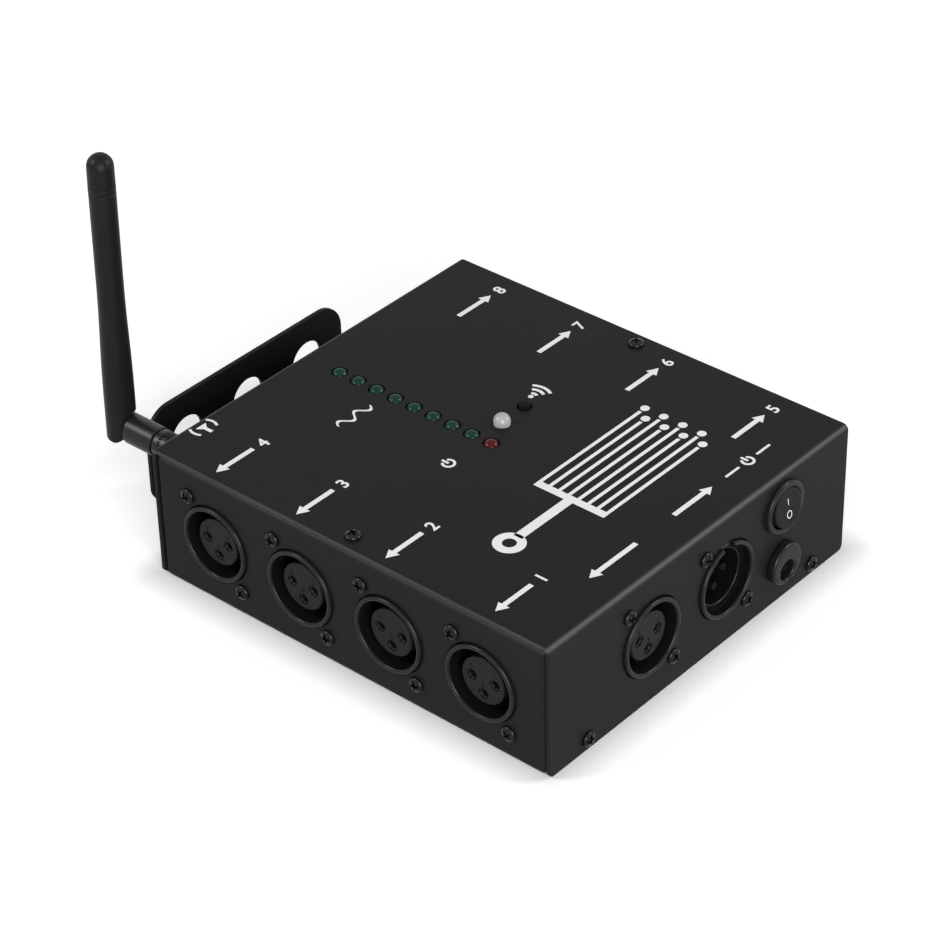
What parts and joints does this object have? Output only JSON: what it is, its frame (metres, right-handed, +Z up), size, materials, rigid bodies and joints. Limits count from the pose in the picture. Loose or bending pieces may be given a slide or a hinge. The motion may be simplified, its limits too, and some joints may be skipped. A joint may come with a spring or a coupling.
{
  "type": "dmx splitter",
  "caption": "Black steel lighting-data splitter box with round three-pole sockets, lamps, rocker switch, power jack, hinged antenna and a rear hanging bracket.",
  "frame": {"origin": "centre of the case's underside, where it stands", "axes": "+X to the right along the front panel, +Y to the rear, +Z up"},
  "size_m": [0.1328, 0.177, 0.1199],
  "materials": {
    "black_powder_coat": "matt, finely textured powder coat",
    "black_plastic": "satin",
    "dark_plastic": "satin",
    "black_steel": "black oxide, slightly shiny",
    "contact_metal": "silver plated",
    "circuit_board": "satin solder mask",
    "plated_steel": "nickel plated",
    "brass": "gold plated, machined",
    "whip_rubber": "matt sleeve",
    "green_lens": "clear tinted, glossy",
    "red_lens": "clear tinted, glossy",
    "milk_lens": "frosted"
  },
  "bodies": {
    "case": {"antenna_bulkhead": "brass", "antenna_bulkhead_nut": "brass", "antenna_lead": "dark_plastic", "board_pillar_1": "plated_steel", "board_pillar_2": "plated_steel", "bracket_screw_left": "black_steel", "bracket_screw_right": "black_steel", "cover_screw_front_left": "black_steel", "cover_screw_front_right": "black_steel", "cover_screw_rear_left": "black_steel", "cover_screw_rear_right": "black_steel", "cover_screw_top_left": "black_steel", "cover_screw_top_right": "black_steel", "hanging_bracket": "black_powder_coat", "indicator_board": "circuit_board", "input_pins": "contact_metal", "input_shell": "black_plastic", "link_button_switch": "dark_plastic", "lower_chassis": "black_powder_coat", "main_board": "circuit_board", "output_1_core": "dark_plastic", "output_1_shell": "black_plastic", "output_2_core": "dark_plastic", "output_2_shell": "black_plastic", "output_3_core": "dark_plastic", "output_3_shell": "black_plastic", "output_4_core": "dark_plastic", "output_4_shell": "black_plastic", "output_5_core": "dark_plastic", "output_5_shell": "black_plastic", "output_6_core": "dark_plastic", "output_6_shell": "black_plastic", "output_7_core": "dark_plastic", "output_7_shell": "black_plastic", "output_8_core": "dark_plastic", "output_8_shell": "black_plastic", "power_jack": "black_plastic", "power_lamp": "red_lens", "power_switch_housing": "black_plastic", "radio_module": "plated_steel", "signal_lamp_1": "green_lens", "signal_lamp_2": "green_lens", "signal_lamp_3": "green_lens", "signal_lamp_4": "green_lens", "signal_lamp_5": "green_lens", "signal_lamp_6": "green_lens", "signal_lamp_7": "green_lens", "signal_lamp_8": "green_lens", "status_lamp": "milk_lens", "through_core": "dark_plastic", "through_shell": "black_plastic", "upper_cover": "black_powder_coat"},
    "rocker": {"power_switch_rocker": "black_plastic"},
    "link_button": {"link_button_cap": "black_plastic"},
    "coupling_nut": {"antenna_coupling_nut": "black_steel"},
    "antenna_base": {"antenna_barrel": "black_plastic", "antenna_hinge_pin": "plated_steel"},
    "antenna_mast": {"antenna_whip": "whip_rubber", "antenna_whip_cap": "whip_rubber"}
  },
  "joints": [
    {"name": "rocker_tip", "type": "hinge", "parent": "case", "child": "rocker", "pos_m": [0.03465, -0.0712, 0.0318], "axis": [1, 0, 0], "range_deg": [0, 18]},
    {"name": "link_button_press", "type": "slide", "parent": "case", "child": "link_button", "axis": [0, 0, -1], "range_m": [0, 0.0005], "stiffness_N_per_m": 400, "springref_m": -0.0005},
    {"name": "coupling_nut_turn", "type": "hinge", "parent": "case", "child": "coupling_nut", "pos_m": [-0.051, 0.07855, 0.032], "axis": [0, 1, 0], "continuous": true},
    {"name": "antenna_swivel", "type": "hinge", "parent": "case", "child": "antenna_base", "pos_m": [-0.051, 0.088, 0.032], "axis": [0, 1, 0], "range_deg": [-90, 80]},
    {"name": "antenna_fold", "type": "hinge", "parent": "antenna_base", "child": "antenna_mast", "pos_m": [-0.051, 0.0982, 0.032], "axis": [-1, 0, 0], "range_deg": [0, 91]}
  ]
}
